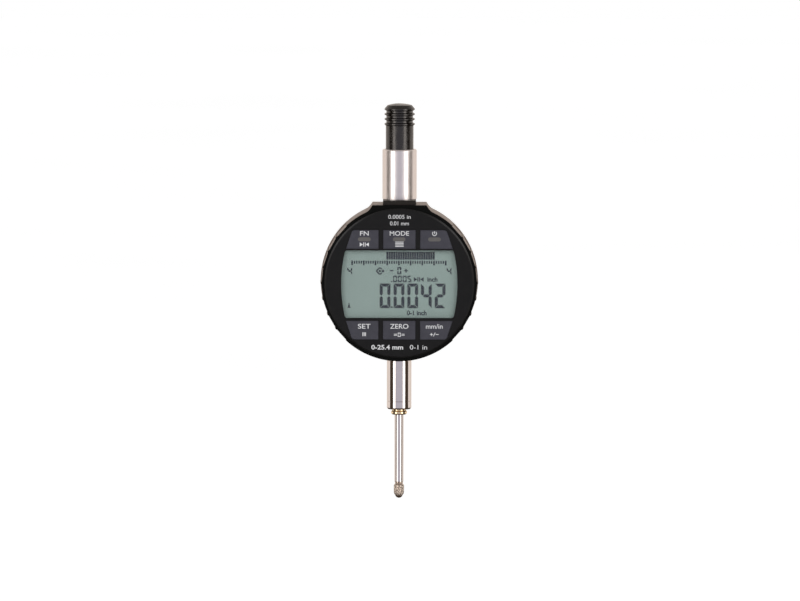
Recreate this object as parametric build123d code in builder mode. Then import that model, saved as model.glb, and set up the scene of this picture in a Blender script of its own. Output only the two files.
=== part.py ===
"""Digital plunger indicator with a 61 mm housing, a turning display and a 1 inch spindle travel.

The origin is on the spindle axis, inside the mounting stem. +Z runs up the spindle towards
the lifting cap, the display faces -Y, and the lug is at the back. All sizes are in millimetres.
"""

import os
from math import asin, degrees, radians, sin, sqrt, tan

from build123d import *

os.makedirs("parts", exist_ok=True)

# ---------------------------------------------------------------- driving dimensions

# Housing outline, seen from the front
body_r = 30.35
body_lead = 0.2  # the front edge is this much smaller in radius
body_lead_depth = 4.0
shoulder_under = 0.25  # flat top of the shoulder below the circle's highest point
shoulder_half = 10.4
shoulder_flare = 33.0  # degrees from vertical
shoulder_drop = 5.2
shoulder_fillet = 5.0
back_edge = 0.8
grip_count = 8  # scoops on each side
grip_pitch = 12.0  # degrees
grip_land = 1.2  # degrees left between scoops
grip_front = 0.4  # scoop depth at the front edge
grip_back = 0.35  # scoop depth where it ends
grip_length = 14.0

# Housing walls and rear space
front_wall = 1.95  # between scoop and display cavity
rear_wall = 3.55
partition_t = 1.4
partition_gap = 3.2  # spindle axis to the partition's rear face
rear_depth = 8.0  # spindle axis to the back cover's seat

# Display stack, from the partition to the front
turn_gap = 0.3
display_back_t = 1.5
display_board_t = 1.0
switch_space = 2.1
lcd_t = 2.0
lens_gap = 0.15
lens_t = 1.0
lens_recess = 0.15
bezel_t = 1.2
bezel_lip_t = 0.75
bezel_lip_gap = 0.05
bezel_over = 1.35  # housing front edge to the bezel's rim
bezel_rim = 0.6  # chamfer on the rim
skirt_gap = 0.4
skirt_wall = 1.5
shell_t = 0.8
shell_edge = 0.4
shell_gap = 0.75

# Window and keys, seen from the front, from the display's centre
window_top = 12.7
window_bottom = -13.25
window_half = 20.75
window_bulge = 1.5
window_corner = 1.0
fit_gap = 0.06
lcd_over = 0.3
key_height = 7.15
key_base_top = 13.35
key_base_bottom = -14.45
key_centre_half = 6.2
key_side_inner = 8.0
key_side_outer = 20.45
key_side_tip = 18.1
key_corner = 1.4
key_small_corner = 0.3
key_gap = 0.1
key_flange = 0.5
key_flange_t = 0.5
key_proud = 0.1
key_edge = 0.12
key_travel = 0.35
plunger_r = 1.6
dome_r = 2.2
dome_t = 0.3
dome_gap = 0.1

# Display retention, stop and rotating contacts
snap_groove = 0.7
snap_width = 0.7
snap_clear = 0.05
snap_split = 10.0  # degrees
turn_limit = 140.0  # degrees each way
stop_pin_r = 1.0
stop_pin_at = 20.0
stop_depth = 1.0
stop_gap = 0.1
hub_open_r = 14.0
track_radii = (6.0, 8.5, 11.0)
track_half = 0.5
track_t = 0.1
contact_pin_r = 0.45
contact_touch = 0.02
contact_block = (9.0, 5.0, 0.9)
friction_ring_t = 0.2

# Stem, spindle and guide bushes
stem_r = 4.7625  # 3/8 inch
stem_length = 19.15  # below the housing
stem_end = -10.5
stem_groove_at = 3.1
stem_groove = 0.15
stem_neck = 0.25
stem_neck_t = 0.45
stem_edge = 0.6
spigot_r = 4.2
spigot_over = 0.8  # past the housing's wall
bush_r = 3.0
bush_length = 13.5
bush_ring_r = 3.08
bush_ring_t = 1.6
bush_ring_gap = 0.55
spindle_r = 1.75
spindle_clear = 0.02
spindle_out = 28.3  # spindle below the stem
travel = 25.4
spindle_in_cap = 4.0
bumper_pocket = 2.5
bumper_over = 2.1
bumper_clear = 0.2
rest_gap = 0.1

# Contact point
thread_r = 1.42  # 4-48 UNF
thread_length = 5.0
contact_neck_r = 1.55
contact_neck_t = 1.0
contact_r = 1.975
contact_length = 4.1
contact_taper = 0.45
ball_r = 1.5
ball_sink = 0.3

# Upper tube, collar and lifting cap
tube_r = 6.6
tube_bore_r = 5.55
tube_length = 19.1
tube_edge = 0.4
collar_half = 6.35
collar_corner = 0.3
collar_t = 1.7
tube_spigot_r = 4.3
tube_floor_t = 2.1
upper_bush_length = 10.4
cap_r = 5.35
cap_rib_r = 5.83
cap_valley_r = 5.15
cap_rib_pitch = 1.9
cap_ribs = 4
cap_out = 17.65  # above the tube at rest
cap_first_rib = 9.7  # first rib's tip above the tube
cap_in_tube = 14.8
cap_wall = 1.35
cap_dome_r = 4.7
cap_dome_h = 0.7

# Carriage, guide rail, spring and measuring boards
carriage_half = 3.4
carriage_front = 1.4
carriage_back = 4.6
carriage_height = 11.0
clamp_slit = 0.8
clamp_screw_r = 1.0
clamp_screw_at = 3.4
clamp_head_r = 1.75
clamp_head_t = 1.2
guide_pin_r = 1.0
guide_pin_reach = 3.8
guide_pin_seat = 1.2
rail_clear = 0.05
rail_gap = 1.6  # carriage to rail
rail_width = 2.8
rail_web = 0.4
rail_side = 1.25
rail_end = 3.5
spring_clear = 0.475
spring_wire = 0.175  # wire radius
spring_turns = 13
arm_reach = 9.0
arm_t = 1.6
arm_height = 8.5
coupler_t = 0.8
coupler_gap = 0.3
scale_board = (10.0, 43.0, 1.0)
scale_board_at = 8.2

# Electronics behind the spindle
main_board = (18.0, 23.0, 1.0)
main_board_at = 14.0
main_board_height = 3.0
board_post_r = 1.8
board_post_at = (19.5, 9.0)
board_screw_r = 0.8
board_head_r = 1.4
board_head_t = 0.8
socket_size = (4.2, 11.0)
socket_wall = 0.6
port_at = 14.5
port_size = (5.6, 12.4)
port_corner = 1.2
plug_gap = 0.1
plug_flange = 0.9
plug_flange_t = 0.9
battery_at = -15.4
battery_r = 10.0
battery_t = 3.2
holder_wall = 1.0
holder_floor = 1.0
holder_lift = 2.6
holder_gap = 0.15
battery_lid_r = 10.6
lid_gap = 0.12
lid_lug_r = 11.5
lid_lug_t = 0.8
lid_lug_half = 8.0  # degrees
lid_turn = 45.0
lid_slot = (12.0, 1.8, 0.9)
lid_proud = 0.5
seal_r = 0.4

# Back cover, lug and screws
cover_inset = 0.5
cover_t = 2.2
cover_edge = 0.7
locate_gap = 0.1
locate_wall = 1.2
locate_depth = 0.8
gasket_at = 1.2  # outside the cavity wall
gasket_width = 0.9
gasket_t = 0.7
cover_screw_at = 24.6
cover_boss_r = 2.5
cover_screw_r = 1.0
cover_head_r = 1.9
cover_head_t = 1.1
cover_screw_length = 6.0
screw_clear = 0.02
slot_w = 0.5
slot_d = 0.45
lug_width = 6.35
lug_r = 6.5
lug_hole_r = 3.175  # 1/4 inch
lug_hole_at = 7.5  # behind the cover
lug_root = 1.2

# Screws that hold the display together
bezel_screw_at = (6.0, 23.9)
bezel_boss_r = 1.5
bezel_screw_r = 0.7
bezel_head_r = 1.25
bezel_head_t = 0.7
bezel_screw_length = 3.6

# ---------------------------------------------------------------- places worked out from them

display_z = stem_end + stem_length + body_r
front_r = body_r - body_lead
shoulder_top = body_r - shoulder_under

partition_back = -partition_gap
partition_front = partition_back - partition_t
display_rear = partition_front - turn_gap
board_rear = display_rear - display_back_t
board_front = board_rear - display_board_t
lcd_rear = board_front - switch_space
lcd_front = lcd_rear - lcd_t
lens_rear = lcd_front - lens_gap
lens_front = lens_rear - lens_t
bezel_front = lens_front - lens_recess
bezel_back = bezel_front + bezel_t
lip_back = bezel_front + bezel_lip_t
shell_front = lip_back + bezel_lip_gap
housing_front = shell_front + shell_t

front_cavity_r = front_r - grip_front - front_wall
rear_cavity_r = body_r - rear_wall
skirt_r = front_cavity_r - skirt_gap
skirt_inner_r = skirt_r - skirt_wall
bezel_r = front_r - bezel_over
snap_y = (board_front + lcd_rear) / 2

cavity_floor_z = display_z - rear_cavity_r
cavity_roof_z = display_z + rear_cavity_r
stem_top = display_z - body_r
spigot_top = cavity_floor_z + spigot_over
bumper_top = spigot_top + bumper_over
carriage_z = bumper_top + rest_gap
carriage_top = carriage_z + carriage_height
guide_pin_z = carriage_z + carriage_height / 2

collar_z = display_z + shoulder_top
tube_z = collar_z + collar_t
tube_top = tube_z + tube_length
tube_spigot_z = cavity_roof_z - spigot_over
tube_floor = tube_z + tube_floor_t
upper_bush_z = tube_floor - upper_bush_length
cap_z = tube_top - cap_in_tube
cap_top = tube_top + cap_out
spindle_end = stem_end - spindle_out
spindle_top = cap_top - spindle_in_cap

cover_back = rear_depth + cover_t
lug_axis_y = cover_back + lug_hole_at

KEYS = {
    "key_tolerance": (-1, 1),
    "key_max_min": (0, 1),
    "key_power": (1, 1),
    "key_preset": (-1, -1),
    "key_data": (0, -1),
    "key_reset": (1, -1),
}


# ---------------------------------------------------------------- helpers


def facing(y, x=0.0):
    """Plane square to the display's axis at depth y, seen from the front."""
    return Plane(origin=(x, y, display_z), x_dir=(1, 0, 0), z_dir=(0, -1, 0))


def profile(*points, mode=Mode.ADD):
    """Closed polygon in the current sketch."""
    Polygon(*points, align=None, mode=mode)


def ring(outer, inner):
    """Flat ring in the current sketch."""
    Circle(outer)
    Circle(inner, mode=Mode.SUBTRACT)


def housing_outline(radius, shrink=0.0):
    """Round outline with a flat shoulder on top, in the current sketch."""
    top = shoulder_top - shrink
    half = shoulder_half - shrink
    base = half + shoulder_drop * tan(radians(shoulder_flare))
    Circle(radius)
    with Locations((0, top + radius)):
        Rectangle(2 * radius, 2 * radius, mode=Mode.SUBTRACT)
    profile((-half, top), (half, top), (base, top - shoulder_drop), (-base, top - shoulder_drop))


def soften_shoulder(sketch):
    """Rounds the two hollows where the shoulder leaves the circle."""
    hollows = sketch.vertices().sort_by(Axis.Y)[-4:-2]
    fillet(hollows, shoulder_fillet)


def window_outline(grow):
    """Window with bowed sides and rounded corners, added to the current sketch."""
    top, bottom = window_top + grow, window_bottom - grow
    side, bow = window_half + grow, window_half + window_bulge + grow
    middle = (top + bottom) / 2
    with BuildSketch(Plane.XY) as outline:
        with BuildLine():
            Line((-side, top), (side, top))
            ThreePointArc((side, top), (bow, middle), (side, bottom))
            Line((side, bottom), (-side, bottom))
            ThreePointArc((-side, bottom), (-bow, middle), (-side, top))
        make_face()
        fillet(outline.vertices(), window_corner)
    add(outline.sketch_local)


def key_span(row):
    """Edge beside the window and the far edge of a row of keys."""
    base = key_base_top if row > 0 else key_base_bottom
    return base, base + row * key_height


def key_middle(column, row):
    base, tip = key_span(row)
    across = column * (key_side_inner + (key_side_outer + key_side_tip) / 2) / 2
    return across, (base + tip) / 2


def key_outline(column, row, grow, base_grow):
    """One key in the current sketch. Grow widens it, and base_grow moves the edge by the window."""
    base, tip = key_span(row)
    base -= row * base_grow
    tip += row * grow
    if column == 0:
        half = key_centre_half + grow
        profile((-half, base), (half, base), (half, tip), (-half, tip))
    else:
        inner = key_side_inner - grow
        outer, far = key_side_outer + grow, key_side_tip + grow
        profile(
            (column * inner, base),
            (column * outer, base),
            (column * far, tip),
            (column * inner, tip),
        )


def round_key(sketch, column, row):
    """Rounds a key's corners, the outer far one most."""
    corners = sketch.vertices()
    if column:
        corners = corners.sort_by(lambda v: (v.X * column, v.Y * row))
        big = corners.sort_by(lambda v: v.Y * row)[-2:].sort_by(lambda v: v.X * column)[-1]
        corners = ShapeList([v for v in corners if v is not big])
        fillet(big, key_corner)
        corners = sketch.vertices().sort_by(lambda v: v.X * column)[:2]
    fillet(corners, key_small_corner)


def save(piece, label):
    piece.label = label
    export_step(piece, f"parts/{label}.step")


# ---------------------------------------------------------------- grip scoop, used as a cutter

scoop_half = (front_r - grip_front) * sin(radians((grip_pitch - grip_land) / 2))
scoop_start = shell_front - 1.0
scoop_stop = shell_front + grip_length
scoop_slope = (body_lead - grip_back + grip_front) / grip_length

with BuildPart() as scoop:
    with BuildSketch(Plane.XY.offset(display_z)):
        floor_stop = body_r - grip_back
        floor_start = floor_stop - scoop_slope * (scoop_stop - scoop_start)
        profile(
            (floor_start, scoop_start),
            (body_r + 2, scoop_start),
            (body_r + 2, scoop_stop),
            (floor_stop, scoop_stop),
        )
    extrude(amount=scoop_half, both=True)

display_axis = Axis((0, 0, display_z), (0, 1, 0))
scoop_angles = [
    side + (i - (grip_count - 1) / 2) * grip_pitch for side in (0, 180) for i in range(grip_count)
]
scoops = [scoop.part.rotate(display_axis, angle) for angle in scoop_angles]

# ---------------------------------------------------------------- housing and front shell

cover_screw_points = [
    (sx * cover_screw_at / sqrt(2), sz * cover_screw_at / sqrt(2)) for sx in (-1, 1) for sz in (-1, 1)
]
post_points = [(board_post_at[0], s * board_post_at[1]) for s in (-1, 1)]
boss_back = rear_depth - locate_depth - 0.6

with BuildPart() as housing:
    lead_y = housing_front + body_lead_depth
    with BuildSketch(facing(lead_y)) as outline:
        housing_outline(body_r)
        soften_shoulder(outline)
    extrude(amount=body_lead_depth, taper=degrees(asin(body_lead / body_lead_depth)))
    with BuildSketch(facing(rear_depth)) as outline:
        housing_outline(body_r)
        soften_shoulder(outline)
    extrude(amount=rear_depth - lead_y)
    back_rim = housing.edges().group_by(Axis.Y)[-1]
    chamfer(back_rim, back_edge)
    for cutter in scoops:
        add(cutter, mode=Mode.SUBTRACT)
    with BuildSketch(facing(partition_front)):
        Circle(front_cavity_r)
    extrude(amount=partition_front - housing_front, mode=Mode.SUBTRACT)
    with BuildSketch(facing(rear_depth)):
        Circle(rear_cavity_r)
    extrude(amount=rear_depth - partition_back, mode=Mode.SUBTRACT)
    # groove for the ring that retains the display
    with BuildSketch(facing(snap_y + snap_width / 2)):
        Circle(front_cavity_r + snap_groove)
    extrude(amount=snap_width, mode=Mode.SUBTRACT)
    # posts for the back cover's screws and for the main board
    with BuildSketch(facing(boss_back)):
        with Locations(*cover_screw_points):
            Circle(cover_boss_r)
        Circle(rear_cavity_r + 1, mode=Mode.INTERSECT)
    extrude(amount=boss_back - partition_back)
    with BuildSketch(facing(main_board_height)):
        with Locations(*post_points):
            Circle(board_post_r)
    extrude(amount=main_board_height - partition_back)
    with BuildSketch(facing(boss_back)):
        with Locations(*cover_screw_points):
            Circle(cover_screw_r + screw_clear)
    extrude(amount=cover_screw_length, mode=Mode.SUBTRACT)
    with BuildSketch(facing(main_board_height)):
        with Locations(*post_points):
            Circle(board_screw_r + screw_clear)
    extrude(amount=main_board_height - partition_back, mode=Mode.SUBTRACT)
    # seat of the back cover's gasket
    with BuildSketch(facing(rear_depth)):
        ring(rear_cavity_r + gasket_at + gasket_width, rear_cavity_r + gasket_at)
    extrude(amount=gasket_t, mode=Mode.SUBTRACT)
    # holes for the stem below and the upper tube above
    with BuildSketch(Plane.XY.offset(stem_top - 1)):
        Circle(spigot_r)
    extrude(amount=spigot_top - stem_top + 1, mode=Mode.SUBTRACT)
    with BuildSketch(Plane.XY.offset(tube_spigot_z)):
        Circle(tube_spigot_r)
    extrude(amount=collar_z - tube_spigot_z, mode=Mode.SUBTRACT)
    # stop pin and contact pin holes in the partition
    with BuildSketch(facing(partition_back)):
        with Locations((0, -stop_pin_at)):
            Circle(stop_pin_r)
        with Locations(*[(r, 0) for r in track_radii]):
            Circle(contact_pin_r)
    extrude(amount=partition_t, mode=Mode.SUBTRACT)
save(housing.part, "housing")

with BuildPart() as front_shell:
    with BuildSketch(facing(housing_front)) as outline:
        housing_outline(front_r - 0.05, shrink=0.05)
        soften_shoulder(outline)
        Circle(skirt_r + shell_gap, mode=Mode.SUBTRACT)
    extrude(amount=shell_t)
    rim = front_shell.faces().sort_by(Axis.Y)[0].outer_wire().edges()
    chamfer(rim.filter_by(GeomType.CIRCLE).sort_by(SortBy.LENGTH)[-1], shell_edge)
    for cutter in scoops:
        add(cutter, mode=Mode.SUBTRACT)
save(front_shell.part, "front_shell")

# ---------------------------------------------------------------- display unit

key_sites = list(KEYS.values())
boss_points = [(sx * bezel_screw_at[0], sz * bezel_screw_at[1]) for sx in (-1, 1) for sz in (-1, 1)]

with BuildPart() as display_bezel:
    with BuildSketch(facing(lip_back)):
        Circle(bezel_r)
    extrude(amount=bezel_lip_t)
    rim = display_bezel.edges().group_by(Axis.Y)[0]
    chamfer(rim, bezel_rim * 0.6, bezel_rim)
    with BuildSketch(facing(board_rear)):
        Circle(skirt_r)
    extrude(amount=board_rear - lip_back)
    with BuildSketch(facing(board_rear)):
        Circle(skirt_inner_r)
    extrude(amount=board_rear - bezel_back, mode=Mode.SUBTRACT)
    with BuildSketch(facing(lcd_rear)):
        with Locations(*boss_points):
            Circle(bezel_boss_r)
    extrude(amount=lcd_rear - bezel_back)
    with BuildSketch(facing(board_front)):
        with Locations(*boss_points):
            Circle(bezel_boss_r)
    extrude(amount=board_front - lcd_rear)
    with BuildSketch(facing(board_front)):
        with Locations(*boss_points):
            Circle(bezel_screw_r + screw_clear)
    extrude(amount=bezel_screw_length, mode=Mode.SUBTRACT)
    with BuildSketch(facing(bezel_back)):
        window_outline(fit_gap)
    extrude(amount=bezel_t, mode=Mode.SUBTRACT)
    # key openings, deep enough to relieve the skirt behind the outer corners
    key_pocket = bezel_t + key_travel + key_gap + 0.1
    for column, row in key_sites:
        with BuildSketch(facing(bezel_front + key_pocket)) as opening:
            key_outline(column, row, key_gap, key_gap)
            round_key(opening, column, row)
        extrude(amount=key_pocket, mode=Mode.SUBTRACT)
    with BuildSketch(facing(snap_y + snap_width / 2)):
        ring(skirt_r + 1, skirt_r - snap_groove)
    extrude(amount=snap_width, mode=Mode.SUBTRACT)
save(display_bezel.part, "display_bezel")

with BuildPart() as display_window:
    with BuildSketch(facing(lens_rear)):
        window_outline(0)
    extrude(amount=lens_t)
save(display_window.part, "display_window")

with BuildPart() as lcd_panel:
    with BuildSketch(facing(lcd_rear)):
        window_outline(lcd_over)
    extrude(amount=lcd_t)
save(lcd_panel.part, "lcd_panel")

frame_front = lcd_front + 1.0
frame_r = skirt_inner_r - 0.3
frame_top, frame_bottom = window_top + 1.7, window_bottom - 1.75
strip_half, strip_height = 19.0, 2.0
strip_tops = (window_top - 0.2, window_bottom + 0.3 + strip_height)
strip_points = [(0, top - strip_height / 2) for top in strip_tops]
chip_size, chip_t = 7.0, 1.0

with BuildPart() as lcd_frame:
    with BuildSketch(facing(board_front)):
        Circle(frame_r)
        with Locations((0, (frame_top + frame_bottom) / 2)):
            Rectangle(2 * frame_r, frame_top - frame_bottom, mode=Mode.INTERSECT)
    extrude(amount=board_front - frame_front)
    with BuildSketch(facing(lcd_rear)):
        window_outline(lcd_over + fit_gap)
    extrude(amount=lcd_rear - frame_front, mode=Mode.SUBTRACT)
    with BuildSketch(facing(board_front)):
        with Locations(*strip_points):
            Rectangle(2 * (strip_half + fit_gap), strip_height + 2 * fit_gap)
        Rectangle(2 * strip_half, 2 * chip_size)
    extrude(amount=board_front - lcd_rear, mode=Mode.SUBTRACT)
save(lcd_frame.part, "lcd_frame")

with BuildPart() as zebra_strips:
    with BuildSketch(facing(board_front)):
        with Locations(*strip_points):
            Rectangle(2 * strip_half, strip_height)
    extrude(amount=board_front - lcd_rear)
save(zebra_strips.part, "zebra_strips")

with BuildPart() as display_board:
    with BuildSketch(facing(board_rear)):
        Circle(skirt_inner_r - 0.2)
        with Locations(*boss_points):
            Circle(bezel_boss_r + 0.15, mode=Mode.SUBTRACT)
    extrude(amount=display_board_t)
save(display_board.part, "display_board")

with BuildPart() as display_chip:
    with BuildSketch(facing(board_front)):
        Rectangle(chip_size, chip_size)
    extrude(amount=chip_t)
    chamfer(display_chip.edges().filter_by(Axis.Y), 0.3)
save(display_chip.part, "display_chip")

with BuildPart() as dome_switches:
    for column, row in key_sites:
        with BuildSketch(facing(board_front)):
            with Locations(key_middle(column, row)):
                Circle(dome_r)
        extrude(amount=dome_t, taper=55)
save(dome_switches.part, "dome_switches")

with BuildPart() as contact_tracks:
    for r in track_radii:
        with BuildSketch(facing(board_rear)):
            ring(r + track_half, r - track_half)
        extrude(amount=-track_t)
save(contact_tracks.part, "contact_tracks")

stop_half_angle = turn_limit + degrees(asin(stop_pin_r / stop_pin_at)) + 0.3

with BuildPart() as display_back:
    with BuildSketch(facing(display_rear)):
        ring(skirt_r, hub_open_r)
    extrude(amount=display_back_t)
    # arc groove for the stop pin, centred below the display's axis
    with BuildSketch(facing(display_rear)):
        with BuildLine():
            reach = stop_pin_r + stop_gap
            inner, outer = stop_pin_at - reach, stop_pin_at + reach
            start = -90 - stop_half_angle
            low = CenterArc((0, 0), inner, start, 2 * stop_half_angle)
            high = CenterArc((0, 0), outer, start, 2 * stop_half_angle)
            Line(low @ 0, high @ 0)
            Line(low @ 1, high @ 1)
        make_face()
    extrude(amount=stop_depth, mode=Mode.SUBTRACT)
    with BuildSketch(facing(display_rear)):
        with Locations(*boss_points):
            Circle(bezel_screw_r + screw_clear)
    extrude(amount=display_back_t, mode=Mode.SUBTRACT)
    with BuildSketch(facing(display_rear)):
        with Locations(*boss_points):
            Circle(bezel_head_r + screw_clear)
    extrude(amount=bezel_head_t, mode=Mode.SUBTRACT)
    with BuildSketch(facing(board_rear)):
        with Locations(*boss_points):
            Circle(bezel_boss_r + 0.1)
    extrude(amount=-0.05, mode=Mode.SUBTRACT)
save(display_back.part, "display_back")

with BuildPart() as display_screws:
    screw_head_y = display_rear - bezel_head_t
    with BuildSketch(facing(display_rear)):
        with Locations(*boss_points):
            Circle(bezel_head_r)
    extrude(amount=bezel_head_t)
    with BuildSketch(facing(screw_head_y)):
        with Locations(*boss_points):
            Circle(bezel_screw_r)
    extrude(amount=bezel_screw_length)
    with BuildSketch(facing(display_rear)):
        with Locations(*boss_points):
            Rectangle(2 * bezel_head_r, slot_w)
    extrude(amount=slot_d, mode=Mode.SUBTRACT)
save(display_screws.part, "display_screws")

with BuildPart() as snap_ring:
    with BuildSketch(facing(snap_y + snap_width / 2 - snap_clear)):
        ring(front_cavity_r + snap_groove - snap_clear, skirt_r - snap_groove + snap_clear)
        gap = 2 * front_cavity_r * sin(radians(snap_split / 2))
        with Locations((0, front_cavity_r)):
            Rectangle(gap, 4 * snap_groove + skirt_gap, mode=Mode.SUBTRACT)
    extrude(amount=snap_width - 2 * snap_clear)
save(snap_ring.part, "snap_ring")

key_front = bezel_front - key_proud
flange_front = bezel_back + 0.05
flange_back = flange_front + key_flange_t
plunger_back = board_front - dome_t - dome_gap - key_travel

for label, (column, row) in KEYS.items():
    with BuildPart() as key:
        with BuildSketch(facing(flange_front)) as cap:
            key_outline(column, row, 0, 0)
            round_key(cap, column, row)
        extrude(amount=flange_front - key_front)
        chamfer(key.edges().group_by(Axis.Y)[0], key_edge)
        with BuildSketch(facing(flange_back)) as flange:
            key_outline(column, row, key_flange, 0)
            fillet(flange.vertices(), key_small_corner)
            Circle(skirt_inner_r - 0.2, mode=Mode.INTERSECT)
        extrude(amount=key_flange_t)
        with BuildSketch(facing(plunger_back)):
            with Locations(key_middle(column, row)):
                Circle(plunger_r)
        extrude(amount=plunger_back - flange_back)
    save(key.part, label)

# ---------------------------------------------------------------- between partition and display

with BuildPart() as friction_ring:
    with BuildSketch(facing(partition_front - 0.05)):
        ring(skirt_r - 0.6, stop_pin_at + 2.6)
    extrude(amount=friction_ring_t)
save(friction_ring.part, "friction_ring")

with BuildPart() as stop_pin:
    with BuildSketch(facing(partition_back)):
        with Locations((0, -stop_pin_at)):
            Circle(stop_pin_r)
    extrude(amount=partition_back - display_rear + stop_depth - stop_gap)
save(stop_pin.part, "stop_pin")

block_middle = (track_radii[0] + track_radii[-1]) / 2

with BuildPart() as contact_carrier:
    with BuildSketch(facing(partition_front)):
        with Locations((block_middle, 0)):
            RectangleRounded(contact_block[0], contact_block[1], 0.5)
        with Locations(*[(r, 0) for r in track_radii]):
            Circle(contact_pin_r, mode=Mode.SUBTRACT)
    extrude(amount=contact_block[2])
save(contact_carrier.part, "contact_carrier")

with BuildPart() as contact_pins:
    with BuildSketch(facing(partition_back)):
        with Locations(*[(r, 0) for r in track_radii]):
            Circle(contact_pin_r)
    extrude(amount=partition_back - board_rear - track_t - contact_touch)
save(contact_pins.part, "contact_pins")

# ---------------------------------------------------------------- stem, bushes and upper tube

groove_z = stem_end + stem_groove_at
stem_bore_top = stem_end + bush_length
pocket_z = spigot_top - bumper_pocket
bumper_bore = spindle_r + bumper_clear

with BuildPart() as stem:
    with BuildSketch(Plane.XZ):
        profile(
            (bush_r, stem_end),
            (stem_r - stem_edge * 0.6, stem_end),
            (stem_r, stem_end + stem_edge),
            (stem_r, groove_z - stem_groove),
            (stem_r - stem_groove, groove_z),
            (stem_r, groove_z + stem_groove),
            (stem_r, stem_top - stem_neck_t),
            (stem_r - stem_neck, stem_top - stem_neck_t),
            (stem_r - stem_neck, stem_top),
            (spigot_r, stem_top),
            (spigot_r, spigot_top),
            (bush_r, spigot_top),
            (bush_r, pocket_z),
            (bumper_bore, pocket_z),
            (bumper_bore, stem_bore_top),
            (bush_r, stem_bore_top),
        )
    revolve(axis=Axis.Z)
save(stem.part, "stem")

ring_z = stem_end - bush_ring_gap - bush_ring_t
bush_bore = spindle_r + spindle_clear

with BuildPart() as lower_bush:
    with BuildSketch(Plane.XZ):
        bevel = bush_ring_t * 0.28
        profile(
            (bush_bore, ring_z),
            (bush_ring_r - bevel, ring_z),
            (bush_ring_r, ring_z + bevel),
            (bush_ring_r, ring_z + bush_ring_t - bevel),
            (bush_ring_r - bevel, ring_z + bush_ring_t),
            (bush_ring_r - bevel, stem_end),
            (bush_r, stem_end),
            (bush_r, stem_bore_top),
            (bush_bore, stem_bore_top),
        )
    revolve(axis=Axis.Z)
save(lower_bush.part, "lower_bush")

with BuildPart() as stop_bumper:
    with BuildSketch(Plane.XY.offset(pocket_z)):
        ring(bush_r, bumper_bore)
    extrude(amount=bumper_top - pocket_z)
    chamfer(stop_bumper.edges().group_by(Axis.Z)[-1], 0.2)
save(stop_bumper.part, "stop_bumper")

with BuildPart() as upper_tube:
    with BuildSketch(Plane.XZ):
        profile(
            (bush_r, tube_spigot_z),
            (tube_spigot_r, tube_spigot_z),
            (tube_spigot_r, tube_z),
            (tube_r, tube_z),
            (tube_r, tube_top - tube_edge),
            (tube_r - tube_edge * 0.7, tube_top),
            (tube_bore_r + tube_edge * 0.5, tube_top),
            (tube_bore_r, tube_top - tube_edge),
            (tube_bore_r, tube_floor),
            (bush_r, tube_floor),
        )
    revolve(axis=Axis.Z)
save(upper_tube.part, "upper_tube")

with BuildPart() as tube_collar:
    with BuildSketch(Plane.XY.offset(collar_z)):
        Circle(collar_half)
        with Locations((0, housing_front / 2)):
            Rectangle(2 * collar_half, -housing_front)
        Circle(tube_spigot_r, mode=Mode.SUBTRACT)
    extrude(amount=collar_t)
    front_corners = tube_collar.edges().filter_by(Axis.Z).sort_by(Axis.Y)[:2]
    fillet(front_corners, collar_corner)
save(tube_collar.part, "tube_collar")

with BuildPart() as upper_bush:
    with BuildSketch(Plane.XY.offset(upper_bush_z)):
        ring(bush_r, bush_bore)
    extrude(amount=upper_bush_length)
    chamfer(upper_bush.edges().group_by(Axis.Z)[-1], 0.3)
save(upper_bush.part, "upper_bush")

# ---------------------------------------------------------------- spindle and what moves with it

contact_z = spindle_end - contact_neck_t
contact_end = contact_z - contact_length
ball_z = contact_end + ball_sink

with BuildPart() as spindle:
    with BuildSketch(Plane.XY.offset(spindle_end)):
        Circle(spindle_r)
    extrude(amount=spindle_top - spindle_end)
    chamfer(spindle.edges().group_by(Axis.Z)[0], 0.12)
    with BuildSketch(Plane.XY.offset(spindle_end)):
        Circle(thread_r)
    extrude(amount=thread_length + 0.5, mode=Mode.SUBTRACT)
save(spindle.part, "spindle")

with BuildPart() as contact_point:
    with BuildSketch(Plane.XZ):
        profile(
            (0, contact_end),
            (contact_r - contact_taper, contact_end),
            (contact_r, contact_end + contact_taper * 2),
            (contact_r, contact_z - 0.3),
            (contact_r - 0.3, contact_z),
            (contact_neck_r, contact_z),
            (contact_neck_r, spindle_end),
            (thread_r, spindle_end),
            (thread_r, spindle_end + thread_length),
            (0, spindle_end + thread_length),
        )
    revolve(axis=Axis.Z)
    with Locations((0, 0, ball_z)):
        Sphere(ball_r, mode=Mode.SUBTRACT)
save(contact_point.part, "contact_point")

with BuildPart() as contact_ball:
    with Locations((0, 0, ball_z)):
        Sphere(ball_r)
save(contact_ball.part, "contact_ball")

first_rib = tube_top + cap_first_rib
rib_run = []
for i in range(cap_ribs):
    tip = first_rib + i * cap_rib_pitch
    rib_run += [
        (cap_valley_r, tip - cap_rib_pitch * 0.32),
        (cap_rib_r, tip - cap_rib_pitch * 0.12),
        (cap_rib_r, tip + cap_rib_pitch * 0.12),
    ]
    if i < cap_ribs - 1:
        rib_run.append((cap_valley_r, tip + cap_rib_pitch * 0.32))
rib_run[0] = (cap_r, rib_run[0][1])
cap_inner_top = first_rib - 2.0

with BuildPart() as lift_cap:
    with BuildSketch(Plane.XZ):
        with BuildLine():
            below = Polyline(
                (spindle_r, spindle_top),
                (spindle_r, cap_inner_top),
                (cap_r - cap_wall, cap_inner_top),
                (cap_r - cap_wall, cap_z),
                (cap_r, cap_z),
                *rib_run,
                (cap_dome_r, cap_top - cap_dome_h),
            )
            dome = (cap_dome_r**2 + cap_dome_h**2) / (2 * cap_dome_h)
            sweep_angle = degrees(asin(cap_dome_r / dome))
            CenterArc((0, cap_top - dome), dome, 90 - sweep_angle, sweep_angle)
            Polyline((0, cap_top), (0, spindle_top), below @ 0)
        make_face()
    revolve(axis=Axis.Z)
save(lift_cap.part, "lift_cap")

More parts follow.
